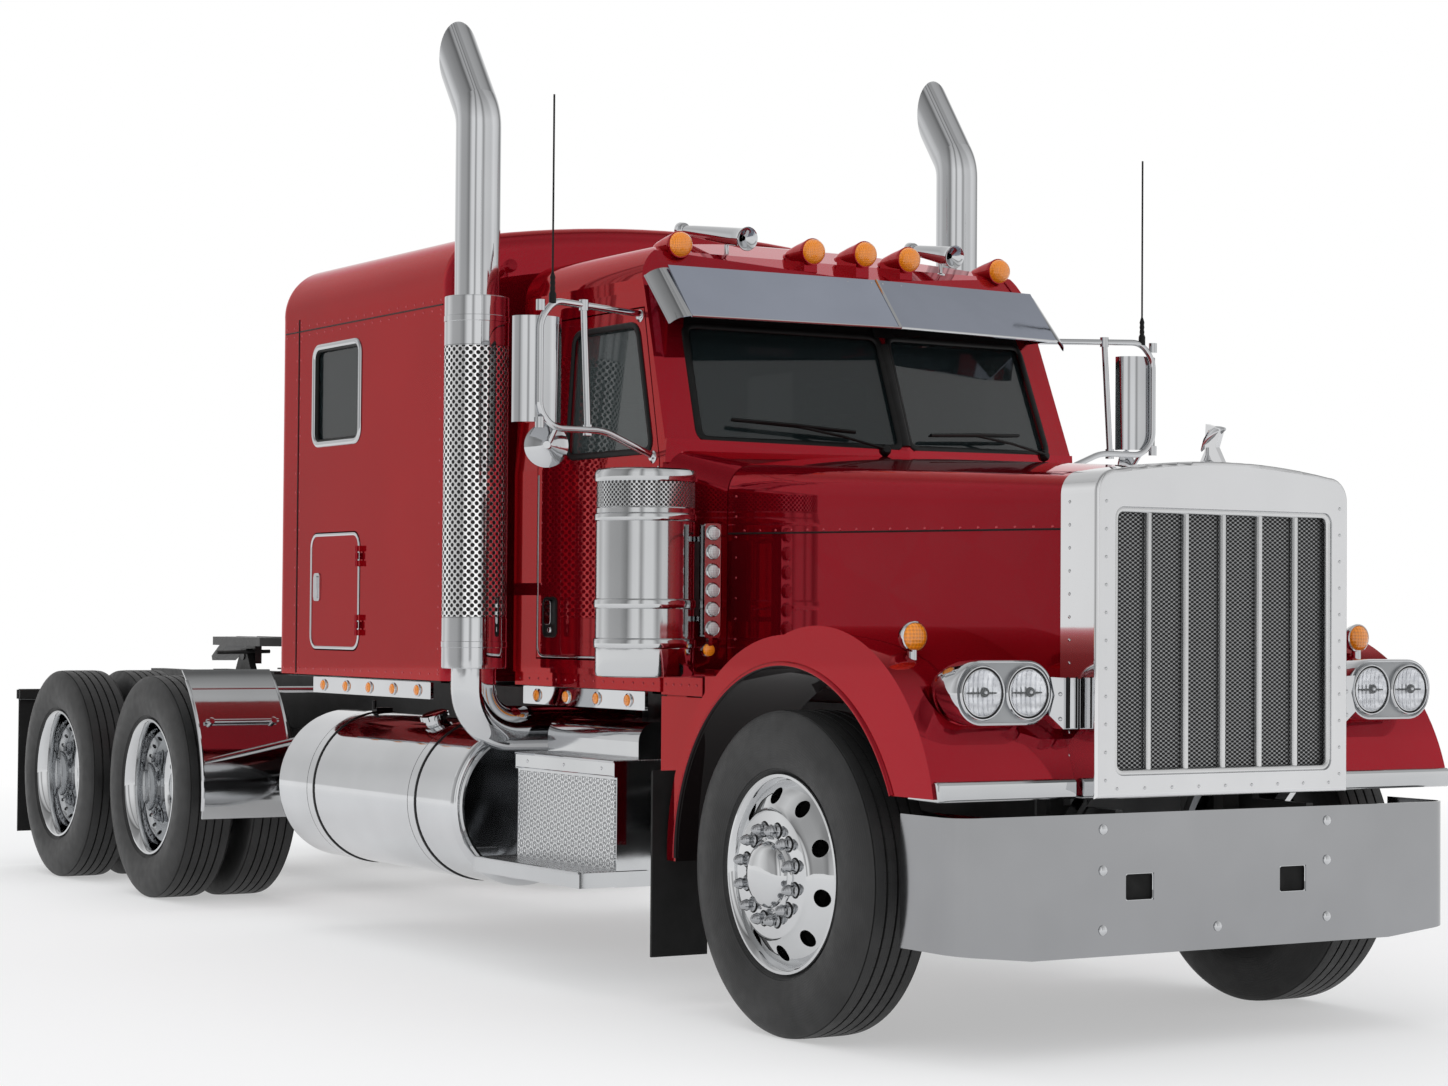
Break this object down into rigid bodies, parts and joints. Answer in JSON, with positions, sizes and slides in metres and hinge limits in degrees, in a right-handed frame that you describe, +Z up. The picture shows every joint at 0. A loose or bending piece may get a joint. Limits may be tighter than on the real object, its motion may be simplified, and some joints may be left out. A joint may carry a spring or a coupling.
{
  "type": "semi truck tractor unit",
  "caption": "Long-nose semi truck tractor with a tilting hood, swinging doors, sleeper box, vertical stacks, side tanks, steered front wheels, dual drive wheels and a fifth wheel.",
  "frame": {"origin": "on the ground, under the middle of the overall length and width", "axes": "+Z up, -Y is the front of the truck, +X is its left-hand (driver's) side"},
  "size_m": [3.04, 8.74, 3.8343],
  "materials": {
    "body_paint": "deep red clear-coated paint",
    "chassis_paint": "black chassis paint",
    "engine_paint": "grey engine paint",
    "chrome": "bright plating",
    "polished_alloy": "polished aluminium",
    "grille_mesh": "dark punched mesh with bright bars",
    "tyre": "black tread rubber",
    "flap_rubber": "black sheet rubber",
    "tinted_glass": "tinted glass",
    "lens": "amber lamp lens",
    "cast": "dark castings",
    "dash_plastic": "dark grained plastic",
    "wheel_grip": "black grip",
    "upholstery": "dark woven cloth",
    "bedding": "plain ticking"
  },
  "bodies": {
    "chassis": {"frame_rails": "chassis_paint", "front_axle": "cast", "drive_axles": "cast", "drive_shaft": "chassis_paint", "engine": "engine_paint", "bumper": "chrome", "cab_body": "body_paint", "dash": "dash_plastic", "steering_wheel": "wheel_grip", "cab_glass": "tinted_glass", "sun_visor": "chrome", "marker_lamps": "lens", "air_horns": "chrome", "sleeper_body": "body_paint", "mattress": "bedding", "fuel_tanks": "polished_alloy", "step_boxes": "polished_alloy", "exhaust_stacks": "chrome", "air_cleaners": "chrome", "quarter_fenders": "polished_alloy", "mud_flaps": "flap_rubber", "seat_left": "upholstery", "seat_right": "upholstery"},
    "hood": {"hood": "body_paint", "fenders": "body_paint", "grille_shell": "chrome", "grille": "grille_mesh", "front_lamps": "chrome"},
    "coupling": {"fifth_wheel": "cast"},
    "door_left": {"door_left": "body_paint", "door_glass_left": "tinted_glass", "mirror_left": "chrome"},
    "luggage_door_left": {"luggage_door_left": "body_paint"},
    "knuckle_left": {"knuckle_left": "cast"},
    "front_wheel_left": {"front_wheel_left": "polished_alloy", "front_tyre_left": "tyre"},
    "forward_wheels_left": {"forward_wheel_left": "polished_alloy", "forward_tyres_left": "tyre"},
    "rear_wheels_left": {"rear_wheel_left": "polished_alloy", "rear_tyres_left": "tyre"},
    "door_right": {"door_right": "body_paint", "door_glass_right": "tinted_glass", "mirror_right": "chrome"},
    "luggage_door_right": {"luggage_door_right": "body_paint"},
    "knuckle_right": {"knuckle_right": "cast"},
    "front_wheel_right": {"front_wheel_right": "polished_alloy", "front_tyre_right": "tyre"},
    "forward_wheels_right": {"forward_wheel_right": "polished_alloy", "forward_tyres_right": "tyre"},
    "rear_wheels_right": {"rear_wheel_right": "polished_alloy", "rear_tyres_right": "tyre"}
  },
  "joints": [
    {"name": "hood_tilt", "type": "hinge", "parent": "chassis", "child": "hood", "pos_m": [0, -4.285, 0.6], "axis": [1, 0, 0], "range_deg": [0, 60]},
    {"name": "door_left_swing", "type": "hinge", "parent": "chassis", "child": "door_left", "pos_m": [0.981, -2.307, 1.9], "axis": [0, 0, -1], "range_deg": [0, 65]},
    {"name": "luggage_door_left_swing", "type": "hinge", "parent": "chassis", "child": "luggage_door_left", "pos_m": [1.166, -0.063, 1.5], "axis": [0, 0, -1], "range_deg": [0, 100]},
    {"name": "steer_left", "type": "hinge", "parent": "chassis", "child": "knuckle_left", "pos_m": [0.905, -3.435, 0.552], "axis": [0, 0, 1], "range_deg": [-38, 38]},
    {"name": "door_right_swing", "type": "hinge", "parent": "chassis", "child": "door_right", "pos_m": [-0.981, -2.307, 1.9], "axis": [0, 0, 1], "range_deg": [0, 65]},
    {"name": "luggage_door_right_swing", "type": "hinge", "parent": "chassis", "child": "luggage_door_right", "pos_m": [-1.166, -0.063, 1.5], "axis": [0, 0, 1], "range_deg": [0, 100]},
    {"name": "steer_right", "type": "hinge", "parent": "chassis", "child": "knuckle_right", "pos_m": [-0.905, -3.435, 0.552], "axis": [0, 0, 1], "range_deg": [-38, 38]},
    {"name": "front_wheel_left_spin", "type": "hinge", "parent": "knuckle_left", "child": "front_wheel_left", "pos_m": [1.029, -3.435, 0.552], "axis": [1, 0, 0], "continuous": true},
    {"name": "forward_wheels_left_spin", "type": "hinge", "parent": "chassis", "child": "forward_wheels_left", "pos_m": [0.9605, 2.202, 0.552], "axis": [1, 0, 0], "continuous": true},
    {"name": "rear_wheels_left_spin", "type": "hinge", "parent": "chassis", "child": "rear_wheels_left", "pos_m": [0.9605, 3.547, 0.552], "axis": [1, 0, 0], "continuous": true},
    {"name": "front_wheel_right_spin", "type": "hinge", "parent": "knuckle_right", "child": "front_wheel_right", "pos_m": [-1.029, -3.435, 0.552], "axis": [1, 0, 0], "continuous": true},
    {"name": "forward_wheels_right_spin", "type": "hinge", "parent": "chassis", "child": "forward_wheels_right", "pos_m": [-0.9605, 2.202, 0.552], "axis": [1, 0, 0], "continuous": true},
    {"name": "rear_wheels_right_spin", "type": "hinge", "parent": "chassis", "child": "rear_wheels_right", "pos_m": [-0.9605, 3.547, 0.552], "axis": [1, 0, 0], "continuous": true},
    {"name": "coupling_tilt", "type": "hinge", "parent": "chassis", "child": "coupling", "pos_m": [0, 2.965, 1.195], "axis": [1, 0, 0], "range_deg": [-10, 10]}
  ],
  "couplings": [
    {"joint": "steer_right", "follows": "steer_left", "ratio": 1}
  ]
}
